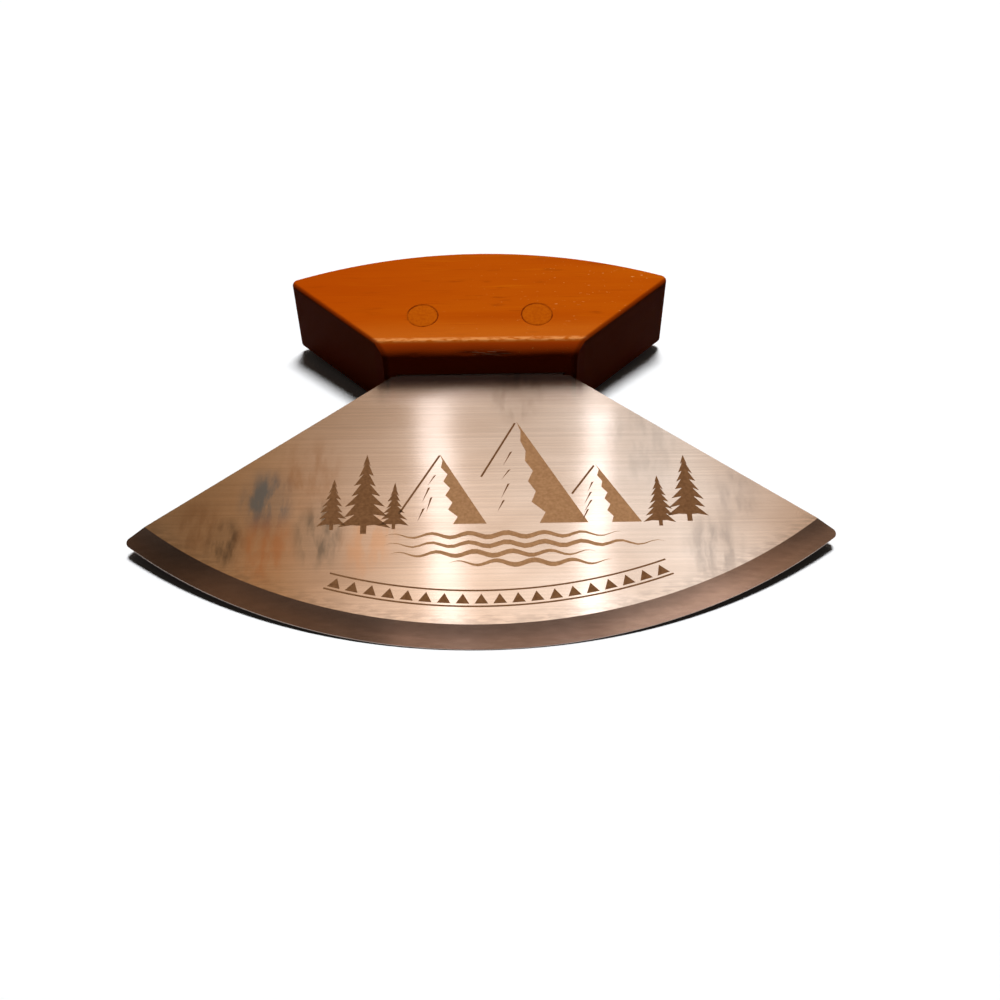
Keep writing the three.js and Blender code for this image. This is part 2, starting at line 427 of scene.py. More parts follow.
def made(name, body, materials, nodes=(), crease=30):
    """Shows a drawn body in its place on the knife, smooth across edges that turn less than crease degrees.
    Each corner keeps where it was drawn, in millimetres, for the patterns of its material."""
    piece = shown(name, body)
    drawing = piece.data.attributes.new(DRAWN_AT, "FLOAT_VECTOR", "POINT")
    drawing.data.foreach_set("vector", [c / MM for v in piece.data.vertices for c in v.co])
    piece.data.transform(PLANE)
    for material in materials:
        piece.data.materials.append(material)
    piece.data.shade_smooth()
    piece.data.set_sharp_from_angle(angle=math.radians(crease))
    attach(piece, "root")
    if nodes:
        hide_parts(*nodes)
    return piece


# Materials

def linear(hex_colour):
    """Linear colour of an sRGB hex value."""
    channels = [int(hex_colour[i:i + 2], 16) / 255 for i in (1, 3, 5)]
    return [c / 12.92 if c <= 0.04045 else ((c + 0.055) / 1.055) ** 2.4 for c in channels] + [1.0]


def add(tree, kind, inputs=None, stops=None, **settings):
    """Adds a shader node. inputs are links or values by socket, stops the positions and colours of a ramp."""
    node = tree.nodes.new("ShaderNode" + kind)
    for name, value in settings.items():
        setattr(node, name, value)
    for socket, value in (inputs or {}).items():
        if isinstance(value, bpy.types.NodeSocket):
            tree.links.new(value, node.inputs[socket])
        else:
            node.inputs[socket].default_value = value
    if stops:
        ramp = node.color_ramp.elements
        while len(ramp) < len(stops):
            ramp.new(0.5)
        for element, (position, colour) in zip(ramp, stops):
            element.position = position
            element.color = linear(colour)
    return node


# Sockets of a Mix node that mixes colours
FACTOR, FIRST, SECOND, MIXED = 0, 6, 7, 2


def surface(name):
    """A new material's node tree, its principled shader and where each point was drawn, in millimetres."""
    material = bpy.data.materials.new(name)
    material.use_nodes = True
    tree = material.node_tree
    shader = tree.nodes["Principled BSDF"]
    place = add(tree, "Attribute", attribute_name=DRAWN_AT).outputs["Vector"]
    return material, tree, shader, place


def sized(sizes):
    """Mapping scale at which one unit of a pattern is so many millimetres along x, u and w."""
    return [1 / size for size in sizes]


def brushed_stainless():
    """Stainless sheet, brushed along its length with fine grit: a satin metal whose highlights stretch
    across the brushing, with faint lines along it and smudges from handling, and to the left painted
    reflections of things beside it."""
    material, tree, shader, place = surface("stainless_sheet_brushed")
    lines_at = add(tree, "Mapping", {"Vector": place, "Scale": sized(GRIT_LINES)})
    lines = add(tree, "TexNoise", {"Vector": lines_at.outputs[0], "Scale": 1, "Detail": 4})
    clouds_at = add(tree, "Mapping", {"Vector": place, "Scale": sized(STEEL_CLOUDS)})
    clouds = add(tree, "TexNoise", {"Vector": clouds_at.outputs[0], "Scale": 1, "Detail": 3})
    tone = add(tree, "ValToRGB", {"Fac": clouds.outputs[0]},
               stops=[(0.3, "#c6b7aa"), (0.55, "#d0c3b8"), (0.75, "#d6cbc2")])
    lined = add(tree, "MapRange", {"Value": lines.outputs[0], "From Min": 0.3, "From Max": 0.7,
                                   "To Min": 0.92, "To Max": 1.05})
    sheet = add(tree, "Mix", {FACTOR: 1.0, FIRST: tone.outputs[0], SECOND: lined.outputs[0]},
                data_type="RGBA", blend_type="MULTIPLY")
    colour = sheet.outputs[MIXED]

    # Finger marks and, to the left, painted reflections, fading outwards and broken up by wipes
    wipes_at = add(tree, "Mapping", {"Vector": place, "Scale": sized(FINGER_WIPES)})
    wipes = add(tree, "TexNoise", {"Vector": wipes_at.outputs[0], "Scale": 1, "Detail": 4})
    broken = add(tree, "MapRange", {"Value": wipes.outputs[0], "From Min": 0.42, "From Max": 0.62,
                                    "To Min": 0.3})
    for x, u, reach, shade, strength in SMUDGES_AND_REFLECTIONS:
        off = add(tree, "VectorMath", {0: place, 1: (x, u, BLADE_HALF)}, operation="SUBTRACT")
        drawn_out = add(tree, "VectorMath", {0: off.outputs[0], 1: sized((1, WIPED_LENGTH, 1))},
                        operation="MULTIPLY")
        away = add(tree, "VectorMath", {0: drawn_out.outputs[0]}, operation="LENGTH")
        near = add(tree, "MapRange", {"Value": away.outputs["Value"], "From Min": reach,
                                      "From Max": reach / 3, "To Max": strength},
                   interpolation_type="SMOOTHSTEP")
        marked = add(tree, "Math", {0: near.outputs[0], 1: broken.outputs[0]}, operation="MULTIPLY")
        smudged_and_reflected = add(tree, "Mix", {FACTOR: marked.outputs[0], FIRST: colour,
                                    SECOND: linear(shade)}, data_type="RGBA")
        colour = smudged_and_reflected.outputs[MIXED]

    # Greyish scuffs along the rim of the bevel, from grinding it
    from_centre = add(tree, "VectorMath", {0: place, 1: (EDGE_CENTRE.x, EDGE_CENTRE.y, BLADE_HALF)},
                      operation="DISTANCE")
    rim = EDGE_RADIUS - BEVEL_WIDTH
    by_rim = add(tree, "MapRange", {"Value": from_centre.outputs["Value"],
                                    "From Min": rim - SCUFF_REACH, "From Max": rim, "To Max": 0.45},
                 interpolation_type="SMOOTHSTEP")
    scuffs_at = add(tree, "Mapping", {"Vector": place, "Scale": sized(GRINDING_SCUFFS)})
    scuffs = add(tree, "TexNoise", {"Vector": scuffs_at.outputs[0], "Scale": 1, "Detail": 4})
    scuffed = add(tree, "MapRange", {"Value": scuffs.outputs[0], "From Min": 0.42, "From Max": 0.6})
    share = add(tree, "Math", {0: by_rim.outputs[0], 1: scuffed.outputs[0]}, operation="MULTIPLY")
    dusty = add(tree, "Mix", {FACTOR: share.outputs[0], FIRST: colour, SECOND: linear("#a0978f")},
                data_type="RGBA")

    # Duller beside the handle, where the brush doesn't reach
    satin = add(tree, "MapRange", {"Value": clouds.outputs[0], "From Min": 0.3, "From Max": 0.7,
                                   "To Min": 0.14, "To Max": 0.12})
    height = add(tree, "SeparateXYZ", {0: place}).outputs["Y"]
    unbrushed = add(tree, "MapRange", {"Value": height, "From Min": UNDERSIDE - BRUSHED_UP_TO,
                                       "From Max": UNDERSIDE - UNBRUSHED_FROM, "To Max": 0.06},
                    interpolation_type="SMOOTHSTEP")
    rough = add(tree, "Math", {0: satin.outputs[0], 1: unbrushed.outputs[0]}, operation="ADD")

    tangent = add(tree, "Tangent", direction_type="UV_MAP")
    bump = add(tree, "Bump", {"Height": lines.outputs[0], "Strength": 0.06,
                              "Distance": SURFACE_DEPTH * MM})
    tree.links.new(dusty.outputs[MIXED], shader.inputs["Base Color"])
    tree.links.new(rough.outputs[0], shader.inputs["Roughness"])
    tree.links.new(tangent.outputs[0], shader.inputs["Tangent"])
    tree.links.new(bump.outputs[0], shader.inputs["Normal"])
    shader.inputs["Metallic"].default_value = 1.0
    shader.inputs["Anisotropic"].default_value = 1.0
    return material


def ground_bevel():
    """The same steel, ground along the edge: a satin band with fine lines, darker than the sheet."""
    material, tree, shader, place = surface("stainless_bevel_ground")
    marks_at = add(tree, "Mapping", {"Vector": place, "Scale": sized(BEVEL_LINES)})
    marks = add(tree, "TexNoise", {"Vector": marks_at.outputs[0], "Scale": 1, "Detail": 4})
    tone = add(tree, "ValToRGB", {"Fac": marks.outputs[0]}, stops=[(0.3, "#97847a"), (0.7, "#a39086")])
    tangent = add(tree, "Tangent", direction_type="UV_MAP")
    tree.links.new(tone.outputs[0], shader.inputs["Base Color"])
    tree.links.new(tangent.outputs[0], shader.inputs["Tangent"])
    shader.inputs["Metallic"].default_value = 1.0
    shader.inputs["Roughness"].default_value = 0.15
    shader.inputs["Anisotropic"].default_value = 1.0
    return material


def etched_steel(name, deep, shallow):
    """Steel etched by acid through a stencil: a shallow, matt brown mark in the bright sheet."""
    material, tree, shader, place = surface(name)
    grains_at = add(tree, "Mapping", {"Vector": place, "Scale": sized(ETCH_GRAINS)})
    grains = add(tree, "TexNoise", {"Vector": grains_at.outputs[0], "Scale": 1, "Detail": 3})
    tone = add(tree, "ValToRGB", {"Fac": grains.outputs[0]}, stops=[(0.3, deep), (0.7, shallow)])
    tree.links.new(tone.outputs[0], shader.inputs["Base Color"])
    shader.inputs["Metallic"].default_value = 0.7
    shader.inputs["Roughness"].default_value = 0.55
    return material


def oiled_hardwood():
    """Reddish hardwood, sawn along the grain, sanded and oiled: soft long fibres with hardly any gloss,
    dark smears and pores, and paler wood where hands have rubbed it off. The ends are darker, partly end
    grain that drank more oil and partly painted shade; the nose is tinted redder as painted shade, and a
    painted highlight runs along the front edge of the upper side."""
    material, tree, shader, place = surface("hardwood_sanded_oiled")
    bands_at = add(tree, "Mapping", {"Vector": place, "Scale": sized(WOOD_BANDS)})
    bands = add(tree, "TexNoise", {"Vector": bands_at.outputs[0], "Scale": 1, "Detail": 3})
    tone = add(tree, "ValToRGB", {"Fac": bands.outputs[0]},
               stops=[(0.3, "#ad4703"), (0.5, "#b54e04"), (0.7, "#bc5706")])
    colour = tone.outputs[0]

    # Marks all over, then redder wood to the left, paler along the front edge, and a redder nose that is
    # painted shade
    shades = []
    for sizes, start, full, strength, shade in WOOD_MARKS:
        marks_at = add(tree, "Mapping", {"Vector": place, "Scale": sized(sizes)})
        marks = add(tree, "TexNoise", {"Vector": marks_at.outputs[0], "Scale": 1, "Detail": 3})
        shades.append((marks.outputs[0], start, full, strength, shade))
    axis = add(tree, "SeparateXYZ", {0: place}).outputs
    shades.append((axis["X"], 5, -35, 0.6, "#ae4302"))
    shades.append((axis["Y"], ARRIS + 7, ARRIS, 0.6, "#c3651a"))
    # Painted shade: a redder tint on the nose, as the wood looks where it faces away from the lamp
    shades.append((axis["Y"], ARRIS - 0.1, ARRIS - 0.6, 0.85, "#b43d05"))
    for value, start, full, strength, shade in shades:
        share = add(tree, "MapRange", {"Value": value, "From Min": start, "From Max": full,
                                       "To Max": strength}, interpolation_type="SMOOTHSTEP")
        shaded = add(tree, "Mix", {FACTOR: share.outputs[0], FIRST: colour, SECOND: linear(shade)},
                     data_type="RGBA")
        colour = shaded.outputs[MIXED]

    # Places made pale: flecks rubbed towards the right end, a painted highlight along the front edge of the
    # upper side, and the rubbed nicks
    section = add(tree, "VectorMath", {0: place, 1: (0, 1, 1)}, operation="MULTIPLY")
    from_arris = add(tree, "VectorMath", {0: section.outputs[0], 1: (0, ARRIS + 0.2, HANDLE_HALF)},
                     operation="DISTANCE")
    between_nicks = (1.0, ARRIS - 1, 6.7)
    off_nicks = add(tree, "VectorMath", {0: place, 1: between_nicks}, operation="SUBTRACT")
    spread = add(tree, "VectorMath", {0: off_nicks.outputs[0], 1: sized(RUBBED_NICKS)},
                 operation="MULTIPLY")
    from_nicks = add(tree, "VectorMath", {0: spread.outputs[0]}, operation="LENGTH")
    for value, start, full, sizes, broken, whole, strength, shade in (
        (axis["X"], -20, 34, (1.0, 0.45, 0.45), 0.66, 0.76, 0.75, "#d9924f"),
        # Painted highlight, with worn paler wood: a pale line along the front edge of the upper side
        (from_arris.outputs["Value"], 0.75, 0.1, (1.8, 0.5, 0.5), 0.3, 0.6, 0.9, "#e39350"),
        (from_nicks.outputs["Value"], 1.0, 0.4, (2.4, 0.4, 0.2), 0.54, 0.62, 0.7, "#d8a888"),
    ):
        near = add(tree, "MapRange", {"Value": value, "From Min": start, "From Max": full},
                   interpolation_type="SMOOTHSTEP")
        pale_flecks_at = add(tree, "Mapping", {"Vector": place, "Scale": sized(sizes)})
        pale_flecks = add(tree, "TexNoise", {"Vector": pale_flecks_at.outputs[0], "Scale": 1, "Detail": 3})
        wear_and_highlight = add(tree, "MapRange", {"Value": pale_flecks.outputs[0], "From Min": broken,
                                        "From Max": whole, "To Max": strength},
                     interpolation_type="SMOOTHSTEP")
        share = add(tree, "Math", {0: near.outputs[0], 1: wear_and_highlight.outputs[0]}, operation="MULTIPLY")
        worn_and_highlit = add(tree, "Mix", {FACTOR: share.outputs[0], FIRST: colour, SECOND: linear(shade)},
                    data_type="RGBA")
        colour = worn_and_highlit.outputs[MIXED]

    # The sawn ends, darker: partly end grain that drank more oil, partly painted shade
    either_end = add(tree, "VectorMath", {0: place}, operation="ABSOLUTE")
    outwards = add(tree, "VectorMath", {0: either_end.outputs[0], 1: END_OUTWARDS.to_3d()},
                   operation="DOT_PRODUCT")
    sawn = END_OUTWARDS.dot(Vector((UNDERSIDE_WIDTH / 2, UNDERSIDE)))
    share = add(tree, "MapRange", {"Value": outwards.outputs["Value"], "From Min": sawn - 1.0,
                                   "From Max": sawn - 0.3, "To Max": 0.9},
                interpolation_type="SMOOTHSTEP")
    ends = add(tree, "Mix", {FACTOR: share.outputs[0], FIRST: colour, SECOND: linear("#7c2a03")},
               data_type="RGBA")

    fibres_at = add(tree, "Mapping", {"Vector": place, "Scale": sized(WOOD_FIBRES)})
    fibres = add(tree, "TexNoise", {"Vector": fibres_at.outputs[0], "Scale": 1, "Detail": 4})
    rough = add(tree, "MapRange", {"Value": fibres.outputs[0], "From Min": 0.3, "From Max": 0.7,
                                   "To Min": 0.56, "To Max": 0.46})
    bump = add(tree, "Bump", {"Height": fibres.outputs[0], "Strength": 0.1,
                              "Distance": SURFACE_DEPTH * MM})
    tree.links.new(ends.outputs[MIXED], shader.inputs["Base Color"])
    tree.links.new(rough.outputs[0], shader.inputs["Roughness"])
    tree.links.new(bump.outputs[0], shader.inputs["Normal"])
    shader.inputs["IOR"].default_value = 1.5
    shader.inputs["Specular IOR Level"].default_value = 0.01
    return material


def oiled_end_grain():
    """Dowel of a like wood, cut across the grain and oiled: fine speckled end grain, a little darker."""
    material, tree, shader, place = surface("hardwood_end_grain_oiled")
    ends_at = add(tree, "Mapping", {"Vector": place, "Scale": sized(DOWEL_GRAIN)})
    ends = add(tree, "TexNoise", {"Vector": ends_at.outputs[0], "Scale": 1, "Detail": 3})
    tone = add(tree, "ValToRGB", {"Fac": ends.outputs[0]}, stops=[(0.3, "#ab4b05"), (0.7, "#b85707")])
    tree.links.new(tone.outputs[0], shader.inputs["Base Color"])
    shader.inputs["Roughness"].default_value = 0.55
    shader.inputs["IOR"].default_value = 1.5
    shader.inputs["Specular IOR Level"].default_value = 0.01
    return material


def hardened_glue():
    """Wood glue, hardened and oiled over: a dull red-brown line of uneven depth."""
    material, tree, shader, place = surface("wood_glue_hardened")
    uneven_at = add(tree, "Mapping", {"Vector": place, "Scale": sized(GLUE_CLOUDS)})
    uneven = add(tree, "TexNoise", {"Vector": uneven_at.outputs[0], "Scale": 1, "Detail": 2})
    tone = add(tree, "ValToRGB", {"Fac": uneven.outputs[0]}, stops=[(0.36, "#7a2b02"), (0.6, "#a84905")])
    tree.links.new(tone.outputs[0], shader.inputs["Base Color"])
    shader.inputs["Roughness"].default_value = 0.6
    shader.inputs["Specular IOR Level"].default_value = 0.01
    return material


# Pieces

def bevel_height(distance):
    """Half the blade's thickness at a distance from the edge, where the bevel is ground slightly hollow."""
    share = min(1.0, distance / BEVEL_WIDTH)
    straight = EDGE_LAND / 2 + (BLADE_HALF - EDGE_LAND / 2) * share
    return straight - BEVEL_HOLLOW * 4 * share * (1 - share)


def blade_body():
    """Sheet with a hollow bevel ground on both sides, along the arc between the tips."""
    neck = Vector((NECK_WIDTH / 2, UNDERSIDE - SHOULDER_CLEARANCE))
    tip = Vector((TIP_SPAN / 2, TIP_HEIGHT))
    along = (tip - neck).normalized()
    inward = Vector((along.y, -along.x))
    tip_round = corner_round(neck, tip, inward, EDGE_CENTRE, EDGE_RADIUS, TIP_ROUND, CORNER_STEPS)
    edge_turn = angle_of(tip_round[0] - EDGE_CENTRE)
    edge = arc(EDGE_CENTRE, EDGE_RADIUS, -math.pi - edge_turn, edge_turn, EDGE_STEPS)
    bevel = []
    for distance in np.linspace(BEVEL_WIDTH, EDGE_STRIP, HOLLOW_STEPS + 1):
        reach = EDGE_RADIUS - float(distance)
        turn = angle_of(neck + along * run_to_circle(neck, along, EDGE_CENTRE, reach) - EDGE_CENTRE)
        bevel.append(arc(EDGE_CENTRE, reach, -math.pi - turn, turn, EDGE_STEPS))
    corner = Vector((TANG_HALF - TANG_CORNER, TANG_TOP - TANG_CORNER))
    right = [neck, Vector((TANG_HALF, neck.y))] + arc(corner, TANG_CORNER, 0, math.pi / 2, CORNER_STEPS)
    top = right + mirrored(right)

    body = bmesh.new()

    def lifted(points, side):
        """Corners of the upper (1) or lower (-1) surface."""
        heights = [side * bevel_height(EDGE_RADIUS - (p - EDGE_CENTRE).length) for p in points]
        return [body.verts.new(Vector((p.x, p.y, h)) * MM) for p, h in zip(points, heights)]

    ground = []
    outlines = []
    for side in (1, -1):
        edge_row = lifted(edge, side)
        right_round = lifted(tip_round[1:], side)
        left_round = lifted(mirrored(tip_round[1:]), side)
        rows = [lifted(points, side) for points in bevel]
        top_row = lifted(top, side)
        strips = []
        for upper, lower in zip(rows, rows[1:] + [edge_row]):
            for i in range(EDGE_STEPS):
                strips.append((lower[i], lower[i + 1], upper[i + 1], upper[i]))
        right_fan = [edge_row[-1]] + right_round
        left_fan = left_round + [edge_row[0]]
        strips += [(rows[-1][-1], a, b) for a, b in zip(right_fan, right_fan[1:])]
        strips += [(rows[-1][0], a, b) for a, b in zip(left_fan, left_fan[1:])]
        sheet = rows[0] + top_row
        body.faces.new(sheet if side > 0 else list(reversed(sheet)))
        for corners in strips:
            ground.append(body.faces.new(corners if side > 0 else list(reversed(corners))))
        outlines.append(left_round + edge_row + right_round + [row[-1] for row in reversed(rows)]
                        + top_row + [row[0] for row in rows])
    upper, lower = outlines
    land = len(edge) + 2 * len(tip_round[1:]) - 1
    for i in range(len(upper)):
        j = (i + 1) % len(upper)
        wall = body.faces.new((lower[i], lower[j], upper[j], upper[i]))
        if i < land:
            ground.append(wall)
    for face in ground:
        face.material_index = 1
    return cut_away(body, [pin(place, HOLE_RADIUS, HANDLE_HALF) for place in DOWELS.values()])


def lay_brushing(piece):
    """UV map whose first axis lies across the brushing, the way that highlights stretch. The sheet is
    brushed along x and the bevel along the edge."""
    layer = piece.data.uv_layers.new(name="across_brushing")
    drawing = piece.data.attributes[DRAWN_AT].data
    for face in piece.data.polygons:
        for corner in face.loop_indices:
            x, u, _ = drawing[piece.data.loops[corner].vertex_index].vector
            spoke = Vector((x, u)) - EDGE_CENTRE
            bevel = (-spoke.length / TIP_SPAN, -angle_of(spoke) * EDGE_RADIUS / TIP_SPAN)
            layer.data[corner].uv = bevel if face.material_index == 1 else (u / TIP_SPAN, -x / TIP_SPAN)


def nose_inset(w):
    """How far the nose lies behind the underside at a height above the blade, worn edge included."""
    worn_from = HANDLE_HALF - ARRIS_EASE * (1 - math.cos(NOSE_MEET))
    if w <= NOSE_CENTRE:
        return 0.0
    if w <= worn_from:
        return FRONT_ROUND - math.sqrt(FRONT_ROUND ** 2 - (w - NOSE_CENTRE) ** 2)
    slope = math.acos(min(1.0, 1 - (HANDLE_HALF - w) / ARRIS_EASE))
    return FRONT_SETBACK + ARRIS_EASE * (math.tan(NOSE_MEET / 2) - math.sin(slope))


def ease_inset(w):
    """How far the ends and the back draw in towards a flat side."""
    up = min(EDGE_EASE, max(0.0, w - (HANDLE_HALF - EDGE_EASE)))
    return EDGE_EASE - math.sqrt(EDGE_EASE ** 2 - up ** 2)


def handle_heights():
    """Heights above the blade at which the block's outline is drawn, close together where it curves."""
    nose_turns = np.linspace(0, NOSE_TURN, ROUND_STEPS + 1)
    worn_turns = np.linspace(0, NOSE_MEET, ROUND_STEPS // 2)
    ease_turns = np.linspace(0, math.pi / 2, ROUND_STEPS)
    nose = [NOSE_CENTRE + FRONT_ROUND * math.sin(t) for t in nose_turns]
    worn = [HANDLE_HALF - ARRIS_EASE * (1 - math.cos(t)) for t in worn_turns]
    eased = [HANDLE_HALF - EDGE_EASE * (1 - math.sin(t)) for t in ease_turns]
    # Heights that are alike to a micrometre are drawn once
    return sorted({round(w, 3) for w in nose + worn + eased if w < HANDLE_HALF - 0.0005} | {HANDLE_HALF})


def nose_marks(x, w):
    """Waver of the sanded nose and the nicks in its upper edge, as extra inset."""
    waver = HAND_WAVER * noise.noise(Vector((x / WAVER_LENGTH, w / WAVER_HEIGHT, 0)))
    for at, height, length, reach, depth in NICKS:
        off = ((x - at) / length) ** 2 + ((w - height) / reach) ** 2
        if off < 1:
            chips = noise.noise(Vector((x * NICK_CHIPS[0], w * NICK_CHIPS[1], NICK_LAYER)))
            waver += depth * (1 - off) ** 2 * (1 + NICK_UNEVENNESS * chips)
    return waver


def handle_body():
    """Block with eased edges and a rounded nose, with a slot for the tang and two dowel holes."""
    underside = Vector((UNDERSIDE_WIDTH / 2, UNDERSIDE))
    end = Vector((HANDLE_LENGTH / 2, UNDERSIDE + SHOULDER_HEIGHT))
    centre, radius = circle_over(end.x, end.y, CROWN - end.y)
    along = (end - underside).normalized()
    inward = Vector((-along.y, along.x))
    corner = corner_round(underside, end, inward, centre, radius, CORNER_ROUND, CORNER_STEPS)
    corner.reverse()
    crown_turn = angle_of(corner[-1] - centre)
    crown = arc(centre, radius, crown_turn, math.pi - crown_turn, CROWN_STEPS)
    front = [Vector((x, UNDERSIDE)) for x in np.linspace(-underside.x, underside.x, FRONT_STEPS + 1)]
    outline = front + corner[:-1] + crown + mirrored(corner[:-1])

    def ring(w):
        ends = [ease_inset(abs(w))] * (len(outline) - FRONT_STEPS)
        nose = [max(0.0, nose_inset(abs(w)) + nose_marks(p.x, w)) for p in front[:-1]]
        return level(inset(outline, nose + ends), w)

    heights = handle_heights()
    body = stacked([ring(-w) for w in reversed(heights)] + [ring(w) for w in heights])
    # The wavering nose has twisted faces, and only flat ones are cut cleanly
    bmesh.ops.triangulate(body, faces=body.faces)

    slot_low = UNDERSIDE - CUT_MARGIN
    slot_high = TANG_TOP + SLOT_CLEARANCE
    slot_half = TANG_HALF + SLOT_CLEARANCE
    slot = [Vector(p) for p in ((-slot_half, slot_low), (slot_half, slot_low),
                                (slot_half, slot_high), (-slot_half, slot_high))]
    gap = BLADE_HALF + SLOT_CLEARANCE
    cutters = [stacked([level(slot, -gap), level(slot, gap)])]
    for place in DOWELS.values():
        cutters.append(pin(place, HOLE_RADIUS, HANDLE_HALF + CUT_MARGIN))
    return cut_away(body, cutters)


def glue_sleeve(place):
    """Glue that fills the hole round a dowel."""
    outer = pin(place, HOLE_RADIUS - GLUE_GAP, HANDLE_HALF - GLUE_SINK)
    return cut_away(outer, [pin(place, DOWEL_RADIUS + GLUE_GAP, HANDLE_HALF + CUT_MARGIN)])


# Etched design

chance = random.Random(DESIGN_SEED)


def spruce(x, foot, height):
    """Tree of ragged tiers, each wider than the one above it, on a short trunk."""
    trunk = 0.1 * height
    trunk_half = 0.03 * height
    step = (height - trunk) / SPRUCE_TIERS
    sides = []
    for side in (-1, 1):
        points = []
        for tier in range(1, SPRUCE_TIERS + 1):
            skirt = 0.25 * height * (tier / SPRUCE_TIERS) ** 0.9 * chance.uniform(0.85, 1.1)
            base = foot + height - tier * step
            points.append(Vector((x + side * skirt, base - step * chance.uniform(0.1, 0.3))))
            points.append(Vector((x + side * skirt * chance.uniform(0.35, 0.5), base + 0.06 * step)))
        points.append(Vector((x + side * trunk_half, foot + trunk)))
        points.append(Vector((x + side * trunk_half, foot)))
        sides.append(points)
    return [Vector((x, foot + height))] + sides[0] + list(reversed(sides[1]))


def ripple(x, u, length):
    """Wavy line on water that tapers to both ends."""
    shares = np.linspace(0, 1, RIPPLE_STEPS + 1)
    heights = [u + RIPPLE_SWING * math.sin(s * length * RIPPLE_WAVES) for s in shares]
    middle = [Vector((x + (s - 0.5) * length, h)) for s, h in zip(shares, heights)]
    swell = [Vector((0, RIPPLE_WIDTH / 2 * math.sin(math.pi * s))) for s in shares]
    lower = [m - w for m, w in zip(middle, swell)]
    upper = [m + w for m, w in zip(middle[1:-1], swell[1:-1])]
    return lower + list(reversed(upper))


def shaded_face(peak, foot):
    """Far side of a peak, from its ragged crest line to the slope down to its foot."""
    crest = []
    for notch in range(1, CREST_NOTCHES):
        share = notch / CREST_NOTCHES
        sway = chance.uniform(0.4, 1.3) * (1 if notch % 2 else -0.8) * share ** 0.5
        crest.append(Vector((peak.x + 0.33 * share * (foot - peak.x) + sway,
                             peak.y + share * (SHORE - peak.y))))
    return [peak] + crest + [Vector((peak.x + 0.3 * (foot - peak.x), SHORE)), Vector((foot, SHORE))]


def gullies(peak, near):
    """Short strokes down the lit side of a peak, tapered to a point."""
    strokes = []
    for share in GULLIES:
        sideways = share * (near - peak.x) * chance.uniform(0.35, 0.6)
        top = Vector((peak.x + sideways, peak.y + share * (SHORE - peak.y)))
        end = top + Vector((chance.uniform(-1.4, -0.6), chance.uniform(-3.6, -2.2)))
        strokes.append([top, end, top + Vector((0.45, 0.15))])
    return strokes


def slope_line(start, end):
    """Thin line up the lit side of a peak."""
    along = (end - start).normalized()
    side = Vector((-along.y, along.x)) * SLOPE_LINE / 2
    return [start - side, end - side, end + side, start + side]


def border():
    """Two thin lines along the edge, with a row of triangles between them."""
    radius = EDGE_RADIUS - BORDER_DISTANCE
    shapes = []
    for outer in (radius, radius - BORDER_HEIGHT):
        line = arc(EDGE_CENTRE, outer, BORDER_START, BORDER_END, BORDER_STEPS)
        back = arc(EDGE_CENTRE, outer - BORDER_LINE, BORDER_START, BORDER_END, BORDER_STEPS)
        shapes.append(line + list(reversed(back)))
    feet = radius - BORDER_LINE - TRIANGLE_FOOT_GAP
    tips = radius - BORDER_HEIGHT + TRIANGLE_TIP_GAP
    turn = (BORDER_END - BORDER_START) / BORDER_TRIANGLES
    for i in range(BORDER_TRIANGLES):
        middle = BORDER_START + (i + 0.5) * turn
        foot = arc(EDGE_CENTRE, feet, middle - TRIANGLE_HALF * turn, middle + TRIANGLE_HALF * turn, 1)
        tip = EDGE_CENTRE + Vector((math.cos(middle), math.sin(middle))) * tips
        shapes.append(foot + [tip])
    return shapes


def etched(shapes):
    """Thin plates, let into the blade's upper side."""
    body = bmesh.new()
    for outline in shapes:
        rows = [level(outline, BLADE_HALF - ETCH_DEPTH), level(outline, BLADE_HALF + ETCH_RISE)]
        stacked(rows, body)
    bmesh.ops.recalc_face_normals(body, faces=body.faces)
    return body


def etched_fills():
    """Broad shapes of the design, etched pale."""
    shapes = [shaded_face(Vector(peak), foot) for peak, foot in PEAKS]
    for i, (x, length) in enumerate(RIPPLES):
        shapes.append(ripple(x, RIPPLE_TOP - RIPPLE_SPACING * i, length))
    return shapes


def etched_lines():
    """Fine shapes of the design, etched dark."""
    shapes = border()
    for x, foot, height in SPRUCES:
        shapes.append(spruce(x, foot, height))
    for start, end in SLOPES:
        shapes.append(slope_line(Vector(start), Vector(end)))
        shapes += gullies(Vector(end), start[0])
    return shapes


# The knife put together

steel = brushed_stainless()
bevel_steel = ground_bevel()
pale_etch = etched_steel("stainless_etched_light", "#b0865e", "#c69c72")
dark_etch = etched_steel("stainless_etched_deep", "#7a5535", "#926b47")
wood = oiled_hardwood()
end_grain = oiled_end_grain()
glue = hardened_glue()

blade = made("knife_blade", blade_body(), [steel, bevel_steel], ["blade"], crease=BEVEL_CREASE)
lay_brushing(blade)
made("etched_fills", etched(etched_fills()), [pale_etch])
made("etched_lines", etched(etched_lines()), [dark_etch])
made("knife_handle", handle_body(), [wood], ["handle"])
for dowel_node, place in DOWELS.items():
    body = pin(place, DOWEL_RADIUS, HANDLE_HALF, ease=DOWEL_EASE)
    made("pin_" + dowel_node, body, [end_grain], [dowel_node])
    made("glue_" + dowel_node, glue_sleeve(place), [glue])


# Table, light and camera

def lamp(name, place, aim, width, depth, brightness, colour):
    """Soft box at a place, turned to a point. At brightness 1 a mirror shows it as white."""
    light = bpy.data.lights.new(name, "AREA")
    light.shape = "RECTANGLE"
    light.size = width
    light.size_y = depth
    light.energy = brightness * math.pi * width * depth
    light.color = linear(colour)[:3]
    holder = bpy.data.objects.new(name, light)
    holder.location = place
    holder.rotation_euler = (Vector(aim) - Vector(place)).to_track_quat("-Z", "Y").to_euler()
    bpy.context.scene.collection.objects.link(holder)
    return holder


